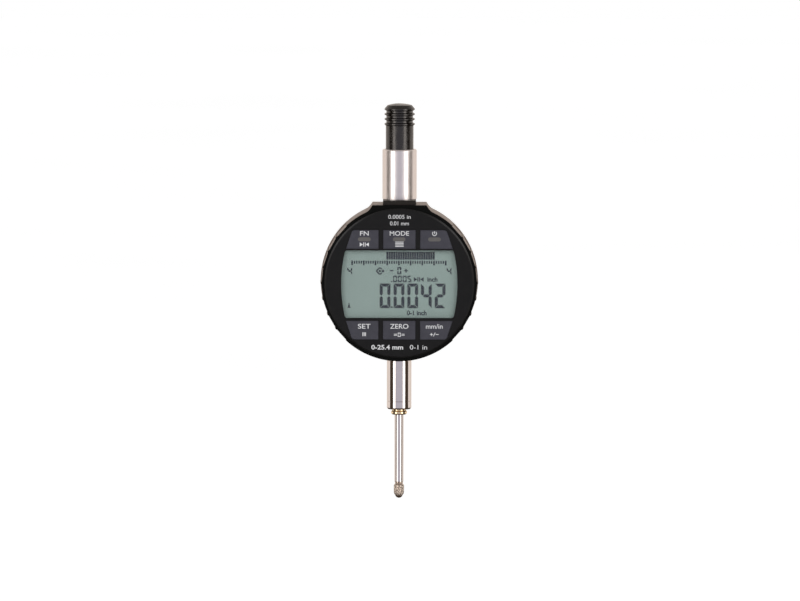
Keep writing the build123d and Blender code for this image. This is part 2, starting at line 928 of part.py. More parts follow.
arm_back = -partition_gap + scale_board[2] + coupler_gap + coupler_t + arm_t
arm_z = carriage_z + (carriage_height - arm_height) / 2 + 1.0

with BuildPart() as carriage:
    with BuildSketch(Plane.XY.offset(carriage_z)):
        with Locations((0, (carriage_back - carriage_front) / 2)):
            Rectangle(2 * carriage_half, carriage_back + carriage_front)
        Circle(spindle_r, mode=Mode.SUBTRACT)
        with Locations((0, carriage_back / 2)):
            Rectangle(clamp_slit, carriage_back, mode=Mode.SUBTRACT)
    extrude(amount=carriage_height)
    with BuildSketch(Plane.XY.offset(arm_z)):
        with Locations((carriage_half + arm_reach / 2, arm_back - arm_t / 2)):
            Rectangle(arm_reach, arm_t)
    extrude(amount=arm_height)
    with BuildSketch(Plane.YZ.offset(-carriage_half)):
        with Locations((clamp_screw_at, guide_pin_z)):
            Circle(clamp_screw_r)
    extrude(amount=2 * carriage_half, mode=Mode.SUBTRACT)
    with BuildSketch(Plane.YZ.offset(-carriage_half)):
        with Locations((0, guide_pin_z)):
            Circle(guide_pin_r)
    extrude(amount=guide_pin_seat, mode=Mode.SUBTRACT)
save(carriage.part, "carriage")

with BuildPart() as clamp_screw:
    with BuildSketch(Plane.YZ.offset(-carriage_half)):
        with Locations((clamp_screw_at, guide_pin_z)):
            Circle(clamp_screw_r)
    extrude(amount=2 * carriage_half)
    with BuildSketch(Plane.YZ.offset(carriage_half)):
        with Locations((clamp_screw_at, guide_pin_z)):
            Circle(clamp_head_r)
    extrude(amount=clamp_head_t)
    with BuildSketch(Plane.YZ.offset(carriage_half + clamp_head_t)):
        with Locations((clamp_screw_at, guide_pin_z)):
            RegularPolygon(0.8, 6)
    extrude(amount=-0.8, mode=Mode.SUBTRACT)
save(clamp_screw.part, "clamp_screw")

with BuildPart() as guide_pin:
    with BuildSketch(Plane.YZ.offset(-carriage_half - guide_pin_reach)):
        with Locations((0, guide_pin_z)):
            Circle(guide_pin_r)
    extrude(amount=guide_pin_reach + guide_pin_seat)
    chamfer(guide_pin.edges().group_by(Axis.X)[0], 0.2)
save(guide_pin.part, "guide_pin")

coupler_back = arm_back - arm_t

with BuildPart() as coupler_plate:
    with BuildSketch(Plane.XY.offset(arm_z)):
        with Locations((carriage_half + arm_reach / 2 + 0.1, coupler_back - coupler_t / 2)):
            Rectangle(arm_reach - 0.4, coupler_t)
    extrude(amount=arm_height)
save(coupler_plate.part, "coupler_plate")

# ---------------------------------------------------------------- guide rail, spring and boards

rail_inner = -carriage_half - rail_gap
rail_outer = rail_inner - rail_width
rail_low = guide_pin_z - rail_end
rail_high = guide_pin_z + travel + rail_end
rail_back = guide_pin_r + rail_clear + rail_side

with BuildPart() as guide_rail:
    with BuildSketch(Plane.XY.offset(rail_low)):
        profile(
            (rail_outer, partition_back),
            (rail_inner, partition_back),
            (rail_inner, rail_back),
            (rail_outer, rail_back),
        )
        slot_half = guide_pin_r + rail_clear
        profile(
            (rail_outer + rail_web, -slot_half),
            (rail_inner, -slot_half),
            (rail_inner, slot_half),
            (rail_outer + rail_web, slot_half),
            mode=Mode.SUBTRACT,
        )
    extrude(amount=rail_high - rail_low)
save(guide_rail.part, "guide_rail")

spring_low = carriage_top + 0.1 + spring_wire
spring_high = upper_bush_z - 0.1 - spring_wire
spring_r = spindle_r + spring_clear + spring_wire

with BuildPart() as return_spring:
    with BuildLine() as coil:
        Helix(
            pitch=(spring_high - spring_low) / spring_turns,
            height=spring_high - spring_low,
            radius=spring_r,
            center=(0, 0, spring_low),
        )
    with BuildSketch(Plane(origin=coil.line @ 0, z_dir=coil.line % 0)):
        Circle(spring_wire)
    sweep(is_frenet=True)
save(return_spring.part, "return_spring")

with BuildPart() as scale_plate:
    with BuildSketch(facing(partition_back + scale_board[2])):
        with Locations((scale_board_at, 0)):
            Rectangle(scale_board[0], scale_board[1])
    extrude(amount=scale_board[2])
save(scale_plate.part, "scale_board")

board_back = main_board_height + main_board[2]

with BuildPart() as main_plate:
    with BuildSketch(facing(board_back)):
        with Locations((main_board_at, 0)):
            RectangleRounded(main_board[0], main_board[1], 1.0)
        with Locations(*post_points):
            Circle(board_screw_r + screw_clear, mode=Mode.SUBTRACT)
    extrude(amount=main_board[2])
save(main_plate.part, "main_board")

with BuildPart() as board_screws:
    with BuildSketch(facing(board_back)):
        with Locations(*post_points):
            Circle(board_head_r)
    extrude(amount=-board_head_t)
    with BuildSketch(facing(board_back)):
        with Locations(*post_points):
            Circle(board_screw_r)
    extrude(amount=board_back - partition_back - 1.0)
save(board_screws.part, "board_screws")

socket_back = rear_depth - locate_depth + 0.6

with BuildPart() as data_socket:
    with BuildSketch(facing(socket_back)):
        with Locations((port_at, 0)):
            RectangleRounded(socket_size[0], socket_size[1], 0.8)
    extrude(amount=socket_back - board_back)
    with BuildSketch(facing(socket_back)):
        with Locations((port_at, 0)):
            RectangleRounded(socket_size[0] - 2 * socket_wall, socket_size[1] - 2 * socket_wall, 0.4)
    extrude(amount=socket_back - board_back - socket_wall, mode=Mode.SUBTRACT)
    with BuildSketch(facing(socket_back - 1.0)):
        with Locations((port_at, 0)):
            Rectangle(0.9, socket_size[1] - 4 * socket_wall)
    extrude(amount=socket_back - 1.0 - board_back - socket_wall)
save(data_socket.part, "data_socket")

# ---------------------------------------------------------------- battery and its holder

holder_r = battery_r + holder_gap + holder_wall
holder_back = holder_lift + holder_floor + battery_t + 0.1
battery_y = holder_lift + holder_floor

with BuildPart() as battery_holder:
    with BuildSketch(facing(holder_back, battery_at)):
        Circle(holder_r)
    extrude(amount=holder_back - holder_lift)
    with BuildSketch(facing(holder_back, battery_at)):
        Circle(battery_r + holder_gap)
    extrude(amount=holder_back - battery_y, mode=Mode.SUBTRACT)
    with BuildSketch(facing(battery_y, battery_at)):
        Rectangle(5.0, 9.0)
    extrude(amount=holder_floor, mode=Mode.SUBTRACT)
    # feet that stand on the partition
    with BuildSketch(facing(holder_lift, battery_at)):
        with Locations((-4.5, 7.0), (-4.5, -7.0)):
            Circle(1.2)
    extrude(amount=holder_lift - partition_back)
save(battery_holder.part, "battery_holder")

with BuildPart() as battery:
    with BuildSketch(facing(battery_y + battery_t, battery_at)):
        Circle(battery_r)
    extrude(amount=battery_t)
    with BuildSketch(facing(battery_y + battery_t * 0.25, battery_at)):
        ring(battery_r, battery_r - 0.9)
    extrude(amount=battery_t * 0.25, mode=Mode.SUBTRACT)
save(battery.part, "battery")

with BuildPart() as battery_contact:
    with BuildSketch(facing(battery_y, battery_at)):
        Rectangle(3.0, 8.6)
    extrude(amount=0.3)
    with BuildSketch(facing(battery_y - 0.3, battery_at)):
        with Locations((0, -3.5)):
            Rectangle(3.0, 1.6)
    extrude(amount=battery_y - 0.3 - holder_lift)
save(battery_contact.part, "battery_contact")

lid_r = battery_lid_r - lid_gap
lid_front = holder_back + 0.15
seal_y = rear_depth + cover_t * 0.45

with BuildPart() as battery_lid:
    with BuildSketch(facing(cover_back + lid_proud, battery_at)):
        Circle(lid_r)
    extrude(amount=cover_back + lid_proud - lid_front)
    chamfer(battery_lid.edges().group_by(Axis.Y)[-1], 0.4)
    with BuildSketch(facing(lid_front + lid_lug_t, battery_at)):
        Circle(lid_lug_r)
        Rectangle(2 * lid_lug_r * sin(radians(lid_lug_half)), 3 * lid_lug_r, mode=Mode.INTERSECT)
    extrude(amount=lid_lug_t)
    with BuildSketch(facing(cover_back + lid_proud, battery_at)):
        SlotOverall(lid_slot[0], lid_slot[1])
    extrude(amount=lid_slot[2], mode=Mode.SUBTRACT)
    with BuildSketch(facing(seal_y + seal_r, battery_at)):
        ring(lid_r + 1, lid_r - seal_r)
    extrude(amount=2 * seal_r, mode=Mode.SUBTRACT)
save(battery_lid.part, "battery_lid")

with BuildPart() as lid_seal:
    with BuildSketch(facing(seal_y + seal_r * 0.8, battery_at)):
        ring(battery_lid_r - 0.04, lid_r - seal_r + 0.04)
    extrude(amount=2 * seal_r * 0.8)
save(lid_seal.part, "lid_seal")

# ---------------------------------------------------------------- back cover

with BuildPart() as back_cover:
    with BuildSketch(facing(cover_back)):
        Circle(body_r - cover_inset)
    extrude(amount=cover_t)
    fillet(back_cover.edges().group_by(Axis.Y)[-1], cover_edge)
    with BuildSketch(facing(rear_depth)):
        outer = rear_cavity_r - locate_gap
        ring(outer, outer - locate_wall)
        with Locations(*cover_screw_points):
            Circle(cover_boss_r + 0.4, mode=Mode.SUBTRACT)
        with Locations((battery_at, 0)):
            Circle(lid_lug_r + 0.4, mode=Mode.SUBTRACT)
    extrude(amount=locate_depth)
    # lug with its cross hole
    with BuildSketch(Plane.YZ.offset(-lug_width / 2).shift_origin((-lug_width / 2, 0, display_z))):
        with Locations((lug_axis_y, 0)):
            Circle(lug_r)
        profile((cover_back - 0.5, -lug_r), (lug_axis_y, -lug_r), (lug_axis_y, lug_r), (cover_back - 0.5, lug_r))
    extrude(amount=lug_width)
    lug_foot = back_cover.edges().filter_by(Plane.XZ).filter_by(
        lambda e: abs(e.center().Y - cover_back) < 0.01
        and abs(e.center().X) <= lug_width / 2 + 0.01
        and abs(e.center().Z - display_z) <= lug_r + 0.01
    )
    fillet(lug_foot, lug_root)
    with BuildSketch(Plane.YZ.offset(-lug_width / 2).shift_origin((-lug_width / 2, 0, display_z))):
        with Locations((lug_axis_y, 0)):
            Circle(lug_hole_r)
    extrude(amount=lug_width, mode=Mode.SUBTRACT)
    # battery opening with two entry notches for the lid's lugs
    with BuildSketch(facing(cover_back, battery_at)):
        Circle(battery_lid_r)
    extrude(amount=cover_t + locate_depth, mode=Mode.SUBTRACT)
    with BuildSketch(facing(cover_back, battery_at)):
        Circle(lid_lug_r + 0.2)
        notch = 2 * lid_lug_r * sin(radians(lid_lug_half + 2))
        Rectangle(notch, 3 * lid_lug_r, rotation=-lid_turn, mode=Mode.INTERSECT)
    extrude(amount=cover_t + locate_depth, mode=Mode.SUBTRACT)
    # opening over the data socket
    with BuildSketch(facing(cover_back)):
        with Locations((port_at, 0)):
            RectangleRounded(port_size[0], port_size[1], port_corner)
    extrude(amount=cover_t + locate_depth, mode=Mode.SUBTRACT)
    # screw holes with sunk heads
    with BuildSketch(facing(cover_back)):
        with Locations(*cover_screw_points):
            Circle(cover_head_r + 0.15)
    extrude(amount=cover_head_t, mode=Mode.SUBTRACT)
    with BuildSketch(facing(cover_back)):
        with Locations(*cover_screw_points):
            Circle(cover_screw_r + 0.15)
    extrude(amount=cover_t, mode=Mode.SUBTRACT)
save(back_cover.part, "back_cover")

with BuildPart() as back_screws:
    head_seat = cover_back - cover_head_t
    with BuildSketch(facing(cover_back)):
        with Locations(*cover_screw_points):
            Circle(cover_head_r)
    extrude(amount=cover_head_t)
    with BuildSketch(facing(head_seat)):
        with Locations(*cover_screw_points):
            Circle(cover_screw_r)
    extrude(amount=head_seat - boss_back + cover_screw_length - 0.5)
    with BuildSketch(facing(cover_back)):
        with Locations(*cover_screw_points):
            Rectangle(2.2, slot_w)
            Rectangle(slot_w, 2.2)
    extrude(amount=slot_d, mode=Mode.SUBTRACT)
save(back_screws.part, "back_screws")

with BuildPart() as cover_gasket:
    with BuildSketch(facing(rear_depth)):
        mid = rear_cavity_r + gasket_at + gasket_width / 2
        ring(mid + gasket_width / 2 - 0.05, mid - gasket_width / 2 + 0.05)
    extrude(amount=gasket_t)
save(cover_gasket.part, "cover_gasket")

plug_front = rear_depth - locate_depth + 0.7

with BuildPart() as port_plug:
    with BuildSketch(facing(cover_back + plug_flange_t)):
        with Locations((port_at, 0)):
            RectangleRounded(
                port_size[0] + 2 * plug_flange, port_size[1] + 2 * plug_flange, port_corner + plug_flange
            )
    extrude(amount=plug_flange_t)
    chamfer(port_plug.edges().group_by(Axis.Y)[-1], 0.3)
    with BuildSketch(facing(cover_back)):
        with Locations((port_at, 0)):
            RectangleRounded(port_size[0] - 2 * plug_gap, port_size[1] - 2 * plug_gap, port_corner)
    extrude(amount=cover_back - plug_front)
    with BuildSketch(facing(cover_back + plug_flange_t)):
        with Locations((port_at, port_size[1] / 2 + plug_flange)):
            RectangleRounded(3.4, 2.4, 0.8)
    extrude(amount=plug_flange_t * 0.7)
save(port_plug.part, "port_plug")
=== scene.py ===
"""Looks for the digital plunger indicator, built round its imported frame."""

from math import cos, hypot, pi, radians, sin

import bmesh
import bpy
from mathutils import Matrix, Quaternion, Vector


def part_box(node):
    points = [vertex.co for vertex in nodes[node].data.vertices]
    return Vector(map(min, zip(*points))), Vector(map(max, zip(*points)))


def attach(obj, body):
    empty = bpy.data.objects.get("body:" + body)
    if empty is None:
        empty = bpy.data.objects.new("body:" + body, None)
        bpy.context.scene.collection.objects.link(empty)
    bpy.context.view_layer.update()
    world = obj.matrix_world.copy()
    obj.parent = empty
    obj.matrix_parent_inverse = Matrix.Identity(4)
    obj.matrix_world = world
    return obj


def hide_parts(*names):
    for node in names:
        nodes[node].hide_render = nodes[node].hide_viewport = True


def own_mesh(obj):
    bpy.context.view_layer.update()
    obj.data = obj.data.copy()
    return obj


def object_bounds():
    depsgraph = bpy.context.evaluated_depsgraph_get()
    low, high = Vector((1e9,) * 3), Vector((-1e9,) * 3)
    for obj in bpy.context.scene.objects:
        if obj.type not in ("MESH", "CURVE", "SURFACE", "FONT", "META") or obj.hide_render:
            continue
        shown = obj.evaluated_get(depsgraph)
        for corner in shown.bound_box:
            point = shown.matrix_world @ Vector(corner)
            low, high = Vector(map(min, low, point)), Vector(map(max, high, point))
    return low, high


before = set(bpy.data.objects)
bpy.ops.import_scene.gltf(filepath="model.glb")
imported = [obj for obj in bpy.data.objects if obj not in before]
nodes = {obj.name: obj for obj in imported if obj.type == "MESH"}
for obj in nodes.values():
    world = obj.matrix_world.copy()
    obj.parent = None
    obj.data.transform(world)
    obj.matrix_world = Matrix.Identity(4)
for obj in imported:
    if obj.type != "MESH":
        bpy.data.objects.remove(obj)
cad_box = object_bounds()
MM = 0.001

# ---------------------------------------------------------------- places read from the frame

bezel_low, bezel_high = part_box("display_bezel")
CX = (bezel_low.x + bezel_high.x) / 2
CZ = (bezel_low.z + bezel_high.z) / 2
FACE = bezel_low.y  # front face of the display
KEY_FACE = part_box("key_data")[0].y
LCD_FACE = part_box("lcd_panel")[0].y


# ---------------------------------------------------------------- materials


class Nodes:
    """Small helper that wires the nodes of a material or of the world."""

    def __init__(self, owner, output):
        owner.use_nodes = True
        self.tree = owner.node_tree
        self.tree.nodes.clear()
        self.end = self.tree.nodes.new(output).inputs["Surface"]
        self.places = self.tree.nodes.new("ShaderNodeTexCoord").outputs

    def put(self, value, socket):
        """Fills an input with another node's output or with a plain value."""
        if isinstance(value, bpy.types.NodeSocket):
            self.tree.links.new(value, socket)
        else:
            socket.default_value = value

    def add(self, kind, inputs, output=0, **settings):
        """Adds a node, fills its inputs and returns one of its outputs."""
        node = self.tree.nodes.new(kind)
        for name, value in settings.items():
            setattr(node, name, value)
        for name, value in inputs.items():
            self.put(value, node.inputs[name])
        return node.outputs[output]

    def math(self, operation, *values):
        return self.add("ShaderNodeMath", dict(enumerate(values)), operation=operation)

    def noise(self, scale, stretch=(1, 1, 1), detail=3.0):
        """Noise over the object's own coordinates. Stretch squeezes the pattern along an axis."""
        sizes = [scale * s for s in stretch]
        place = self.add("ShaderNodeMapping", {"Vector": self.places["Object"], "Scale": sizes})
        pattern = {"Vector": place, "Scale": 1.0, "Detail": detail, "Roughness": 0.55}
        return self.add("ShaderNodeTexNoise", pattern, "Fac")

    def ramp(self, source, stops):
        """Colour that runs through a list of positions and colours."""
        colour = self.add("ShaderNodeValToRGB", {"Fac": source}, "Color")
        elements = colour.node.color_ramp.elements
        while len(elements) < len(stops):
            elements.new(0.5)
        for element, (position, tone) in zip(elements, stops):
            element.position = position
            element.color = (*tone, 1)
        return colour

    def spread(self, source, low, high):
        """Maps noise, which stays near its middle, to a range."""
        ends = {"Value": source, "From Min": 0.3, "From Max": 0.7, "To Min": low, "To Max": high}
        return self.add("ShaderNodeMapRange", ends, "Result")

    def bump(self, source, strength, depth):
        inputs = {"Height": source, "Strength": strength, "Distance": depth}
        return self.add("ShaderNodeBump", inputs, "Normal")

    def mix(self, share, first, second):
        """Mixes two colours, which go to the node's inputs 6 and 7."""
        return self.add("ShaderNodeMix", {"Factor": share, 6: first, 7: second}, 2, data_type="RGBA")

    def blend(self, share, first, second):
        """Mixes two shaders."""
        return self.add("ShaderNodeMixShader", {"Fac": share, 1: first, 2: second})

    def in_view(self):
        """One for rays from the camera and rays through clear pieces, and zero for the rest."""
        rays = self.tree.nodes.new("ShaderNodeLightPath").outputs
        return self.math("MAXIMUM", rays["Is Camera Ray"], rays["Is Transmission Ray"])


def tint(colour, factor):
    return tuple(min(1.0, c * factor) for c in colour)


def surface(
    name,
    colour,
    rough,
    metal=0.0,
    level=0.5,
    vary=0.08,
    rough_vary=0.06,
    patch=400,
    grain=4000,
    stretch=(1, 1, 1),
    strength=0.15,
    depth=0.02,
    edge=1.0,
):
    """Solid finish with slight tone patches, uneven gloss and a fine grain. Depth is in mm.

    Edge is how much of a metal's mirror is left at a glancing angle."""
    material = bpy.data.materials.new(name)
    n = Nodes(material, "ShaderNodeOutputMaterial")
    patches = n.noise(patch, detail=4.0)
    fine = n.noise(grain, stretch, detail=2.0)
    gloss = n.spread(patches, rough - rough_vary, rough + rough_vary)
    inputs = {
        "Metallic": metal,
        "Specular IOR Level": level,
        "Base Color": n.ramp(patches, [(0.3, tint(colour, 1 - vary)), (0.7, tint(colour, 1 + vary))]),
        "Roughness": n.math("ADD", gloss, n.spread(fine, -rough_vary / 2, rough_vary / 2)),
        "Normal": n.bump(fine, strength, depth * MM),
    }
    if edge < 1:
        inputs["Specular Tint"] = (edge, edge * 0.96, edge * 0.92, 1)
    n.put(n.add("ShaderNodeBsdfPrincipled", inputs), n.end)
    return material


def clear_pane(name):
    """Clear cover of the display: see-through, with a mirror share that grows at the edges."""
    material = bpy.data.materials.new(name)
    n = Nodes(material, "ShaderNodeOutputMaterial")
    inputs = {
        "Base Color": (0.5, 0.54, 0.52, 1),
        "IOR": 1.49,
        "Specular IOR Level": 0.12,
        "Alpha": 0.04,
        "Roughness": n.spread(n.noise(220, detail=5.0), 0.04, 0.12),
    }
    n.put(n.add("ShaderNodeBsdfPrincipled", inputs), n.end)
    return material


STEEL = (0.64, 0.595, 0.575)
GREY_METAL = (0.212, 0.170, 0.147)
BLACK = (0.0075, 0.0073, 0.0072)
RING = (1, 1, 30)  # fine turned rings round the spindle axis

tube_steel = surface(
    "satin_steel", tint(STEEL, 1.1), 0.33, 1.0,
    grain=900, stretch=RING, strength=0.08, depth=0.01, rough_vary=0.03, vary=0.03,
)
steel = surface(
    "polished_steel", STEEL, 0.10, 1.0,
    grain=900, stretch=RING, strength=0.03, depth=0.01, rough_vary=0.03, vary=0.03,
)
ground_steel = surface(
    "ground_steel", tint(STEEL, 0.92), 0.22, 1.0,
    grain=1500, stretch=RING, strength=0.1, depth=0.01, vary=0.05,
)
knurl_steel = surface(
    "knurled_steel", (0.52, 0.44, 0.37), 0.24, 1.0,
    grain=5000, strength=0.15, depth=0.01,
)
carbide = surface(
    "carbide", (0.50, 0.42, 0.36), 0.34, 1.0,
    grain=6000, strength=0.05, depth=0.005, rough_vary=0.03,
)
bronze = surface(
    "bronze", (0.78, 0.62, 0.40), 0.17, 1.0,
    grain=1500, stretch=RING, strength=0.1, depth=0.01,
)
grey_metal = surface(
    "satin_housing", GREY_METAL, 0.42, 0.4,
    level=0.26, edge=0.32, grain=5200, strength=0.22, depth=0.012, vary=0.07,
)
cover_metal = surface(
    "satin_cover", GREY_METAL, 0.38, 0.5,
    level=0.3, edge=0.4, grain=1400, strength=0.22, depth=0.015,
)
face_black = surface(
    "display_black", BLACK, 0.36,
    level=0.14, grain=6500, strength=0.18, depth=0.012,
)
shell_black = surface(
    "shell_black", (0.0025, 0.0027, 0.0022), 0.34,
    level=0.06, grain=6000, strength=0.2, depth=0.015,
)
cap_black = surface(
    "cap_black", (0.0028, 0.0022, 0.002), 0.24,
    level=0.72, grain=2900, strength=0.75, depth=0.045, rough_vary=0.10, edge=0.96,
)
collar_black = surface(
    "collar_black", (0.0165, 0.0135, 0.0115), 0.4,
    level=0.12, grain=5000, strength=0.2, depth=0.015,
)
back_black = surface(
    "back_black", (0.02, 0.02, 0.02), 0.45,
    level=0.35, grain=4500, strength=0.3, depth=0.02,
)
key_grey = surface(
    "key_grey", (0.048, 0.047, 0.058), 0.42,
    level=0.14, grain=6000, strength=0.15, depth=0.01,
)
rubber = surface(
    "rubber", (0.018, 0.018, 0.019), 0.62,
    level=0.3, grain=3000, strength=0.35, depth=0.03,
)
light_plastic = surface("light_plastic", (0.62, 0.61, 0.57), 0.45, level=0.4)
circuit = surface("circuit_board", (0.02, 0.16, 0.07), 0.3, level=0.5, grain=1500)
gold = surface("gold_contact", (0.85, 0.62, 0.25), 0.22, 1.0)
lcd = surface(
    "lcd_glass", (0.225, 0.290, 0.272), 0.3,
    level=0.06, vary=0.025, patch=60, grain=2500, strength=0.03, depth=0.004,
)
lcd_ink = surface("lcd_ink", (0.016, 0.018, 0.032), 0.45, level=0.05, vary=0.10, patch=900)
print_white = surface("print_white", (0.62, 0.62, 0.63), 0.5, level=0.15, patch=2500, vary=0.05)
print_pill = surface("print_pill", (0.105, 0.099, 0.096), 0.5, level=0.15)
pane = clear_pane("clear_window")

LOOKS = {
    "housing": grey_metal,
    "back_cover": cover_metal,
    "front_shell": shell_black,
    "tube_collar": collar_black,
    "display_bezel": face_black,
    "display_window": pane,
    "lcd_panel": lcd,
    "lcd_frame": light_plastic,
    "stem": steel,
    "upper_tube": tube_steel,
    "spindle": steel,
    "contact_ball": carbide,
    "lower_bush": bronze,
    "upper_bush": bronze,
    "lift_cap": cap_black,
    "battery_lid": back_black,
    "port_plug": rubber,
    "back_screws": ground_steel,
    "display_screws": ground_steel,
    "board_screws": ground_steel,
    "clamp_screw": ground_steel,
    "stop_bumper": rubber,
    "zebra_strips": rubber,
    "lid_seal": rubber,
    "cover_gasket": rubber,
    "friction_ring": light_plastic,
    "contact_carrier": light_plastic,
    "carriage": light_plastic,
    "main_board": circuit,
    "display_board": circuit,
    "scale_board": circuit,
    "coupler_plate": circuit,
    "contact_pins": gold,
    "contact_tracks": gold,
    "battery_contact": gold,
    "data_socket": back_black,
    "battery_holder": back_black,
    "display_back": back_black,
    "display_chip": back_black,
}
for name, node in nodes.items():
    look = key_grey if name.startswith("key_") else LOOKS.get(name, ground_steel)
    for slot in node.material_slots:
        slot.material = look


# ---------------------------------------------------------------- small shapes on the display


def piece(name, mesh, look, body):
    """Makes a mesh a piece that rides on a body."""
    mesh.materials.clear()
    mesh.materials.append(look)
    made = bpy.data.objects.new(name, mesh)
    bpy.context.scene.collection.objects.link(made)
    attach(made, body)
    return made


def finished(name, bm):
    """Turns a bmesh into a mesh with its faces outwards."""
    bmesh.ops.recalc_face_normals(bm, faces=bm.faces)
    mesh = bpy.data.meshes.new(name)
    bm.to_mesh(mesh)
    bm.free()
    return mesh


PRINT = 0.012  # mm by which printed marks stand proud


def add_prism(bm, loop, face):
    """Thin plate with this outline, in mm from the display's centre, standing on a face."""
    front = [bm.verts.new((CX + x * MM, face - PRINT * MM, CZ + z * MM)) for x, z in loop]
    back = [bm.verts.new((CX + x * MM, face, CZ + z * MM)) for x, z in loop]
    bm.faces.new(front)
    bm.faces.new(list(reversed(back)))
    for i in range(len(loop)):
        j = (i + 1) % len(loop)
        bm.faces.new((front[i], front[j], back[j], back[i]))


def prints(name, loops, face, look, body, slot):
    """Flat outlines as one piece of thin plates."""
    bm = bmesh.new()
    for loop in loops:
        add_prism(bm, loop, face)
    return piece(name, finished(name, bm), look, body)


def bar(x, z, w, h):
    """Rectangle by its centre and size."""
    w, h = w / 2, h / 2
    return [(x - w, z - h), (x + w, z - h), (x + w, z + h), (x - w, z + h)]


def pill(x, z, w, h, n=10):
    """Bar with round ends."""
    r = h / 2
    right = [(x + w / 2 - r + r * sin(pi * i / n), z - r * cos(pi * i / n)) for i in range(n + 1)]
    left = [(x - w / 2 + r - r * sin(pi * i / n), z + r * cos(pi * i / n)) for i in range(n + 1)]
    return right + left


def arc_band(x, z, r, width, start, stop, n=24):
    """Part of a ring between two angles, in degrees from +x."""
    turns = [radians(start + (stop - start) * i / n) for i in range(n + 1)]
    inner, outer = r - width / 2, r + width / 2
    outside = [(x + outer * cos(a), z + outer * sin(a)) for a in turns]
    inside = [(x + inner * cos(a), z + inner * sin(a)) for a in reversed(turns)]
    return outside + inside


def cross(x, z, size, w):
    """Plus sign by its centre."""
    a, b = size / 2, w / 2
    quarter = [(b, a), (b, b), (a, b)]
    loop = quarter + [(z1, -x1) for x1, z1 in quarter]
    loop += [(-x1, -z1) for x1, z1 in loop]
    return [(x + x1, z + z1) for x1, z1 in loop]


def stroke(x0, z0, x1, z1, w):
    """Straight line of a width."""
    dx, dz = x1 - x0, z1 - z0
    size = hypot(dx, dz)
    nx, nz = -dz / size * w / 2, dx / size * w / 2
    return [(x0 + nx, z0 + nz), (x0 - nx, z0 - nz), (x1 - nx, z1 - nz), (x1 + nx, z1 + nz)]


SEGMENTS = {"0": "abcdef", "2": "abged", "4": "fgbc", "5": "afgcd"}


def digit(char, x, z, w, h, t, gap):
    """Seven-segment digit with its lower left corner at x, z, strokes t wide and a gap between."""
    s = t / 2
    x1, z1, m = x + w, z + h, z + h / 2
    left, right = x + t, x1 - t  # inner edges of the upright strokes
    over, under = m + s + gap, m - s - gap  # ends of the upright strokes at the middle
    shapes = {
        "a": [(x + gap, z1), (x1 - gap, z1), (right - gap, z1 - t), (left + gap, z1 - t)],
        "b": [(x1, z1 - gap), (x1, over - gap / 2), (x1 - s, m + gap), (right, over), (right, z1 - t - gap)],
        "c": [(x1, z + gap), (right, z + t + gap), (right, under), (x1 - s, m - gap), (x1, under + gap / 2)],
        "d": [(x + gap, z), (left + gap, z + t), (right - gap, z + t), (x1 - gap, z)],
        "e": [(x, z + gap), (x, under + gap / 2), (x + s, m - gap), (left, under), (left, z + t + gap)],
        "f": [(x, z1 - gap), (left, z1 - t - gap), (left, over), (x + s, m + gap), (x, over - gap / 2)],
        "g": [
            (x + s + gap, m),
            (left + gap, m + s),
            (right - gap, m + s),
            (x1 - s - gap, m),
            (right - gap, m - s),
            (left + gap, m - s),
        ],
    }
    return [shapes[k] for k in SEGMENTS[char]]


def lettering(name, text, x, z, height, width, face, look, body, slot, weight=0.0):
    """Text as a thin plate, centred on x, with its base line at z. Sizes are in mm."""
    curve = bpy.data.curves.new(name, "FONT")
    curve.body = text
    curve.align_x = "CENTER"
    curve.extrude = 0.005  # only parts the front from the back, which get their places below
    curve.offset = weight
    holder = bpy.data.objects.new(name, curve)
    bpy.context.scene.collection.objects.link(holder)
    bpy.context.view_layer.update()
    shown = holder.evaluated_get(bpy.context.evaluated_depsgraph_get())
    mesh = bpy.data.meshes.new_from_object(shown)
    bpy.data.objects.remove(holder)
    bpy.data.curves.remove(curve)
    xs = [v.co.x for v in mesh.vertices]
    up = height * MM / max(v.co.y for v in mesh.vertices)
    side = width * MM / (max(xs) - min(xs))
    middle = (max(xs) + min(xs)) / 2
    for v in mesh.vertices:
        out = 1.0 if v.co.z > 0 else 0.0
        v.co = (
            CX + x * MM + (v.co.x - middle) * side,
            face - out * PRINT * MM,
            CZ + z * MM + v.co.y * up,
        )
    return piece(name, mesh, look, body)


# LCD: bar graph, scale, small digits and the large reading
DISPLAY = "display_unit"
on_lcd = (LCD_FACE, lcd_ink, DISPLAY, "dark_print")
LCD_WEIGHT = 0.035  # how much bolder the words on the LCD are than the plain font
prints("lcd_bars", [bar(-4.62 + 0.89 * i, 10.6, 0.79, 3.0) for i in range(21)], *on_lcd)

ticks = []
for i in range(41):
    long = i % 5 == 0
    length = 1.85 if long else 1.15
    top = 8.75 if long else 8.65
    ticks.append(bar(-18.15 + 0.8985 * i, top - length / 2, 0.62 if long else 0.52, length))
prints("lcd_scale", ticks, *on_lcd)

small = []
for x in (-20.0, 18.15):
    small += digit("4", x, 3.25, 1.9, 2.85, 0.56, 0.05)
small += digit("0", -0.82, 3.45, 1.6, 2.8, 0.55, 0.04)
small += [bar(-2.95, 4.85, 1.3, 0.46), cross(2.55, 4.85, 1.35, 0.46), bar(-2.98, 0.64, 0.5, 0.5)]
for i, char in enumerate("0005"):
    small += digit(char, -2.42 + 1.84 * i, 0.38, 1.56, 2.55, 0.5, 0.04)
# diamond open to the right with a dot, and a plus sign
for up in (-1, 1):
    small.append(stroke(-8.85, 4.7, -7.5, 4.7 + up * 1.35, 0.5))
    small.append(stroke(-7.4, 4.7 + up * 1.3, -6.75, 4.7 + up * 0.65, 0.5))
small += [pill(-7.5, 4.7, 0.9, 0.9, 8), cross(-6.3, 4.7, 1.1, 0.5)]
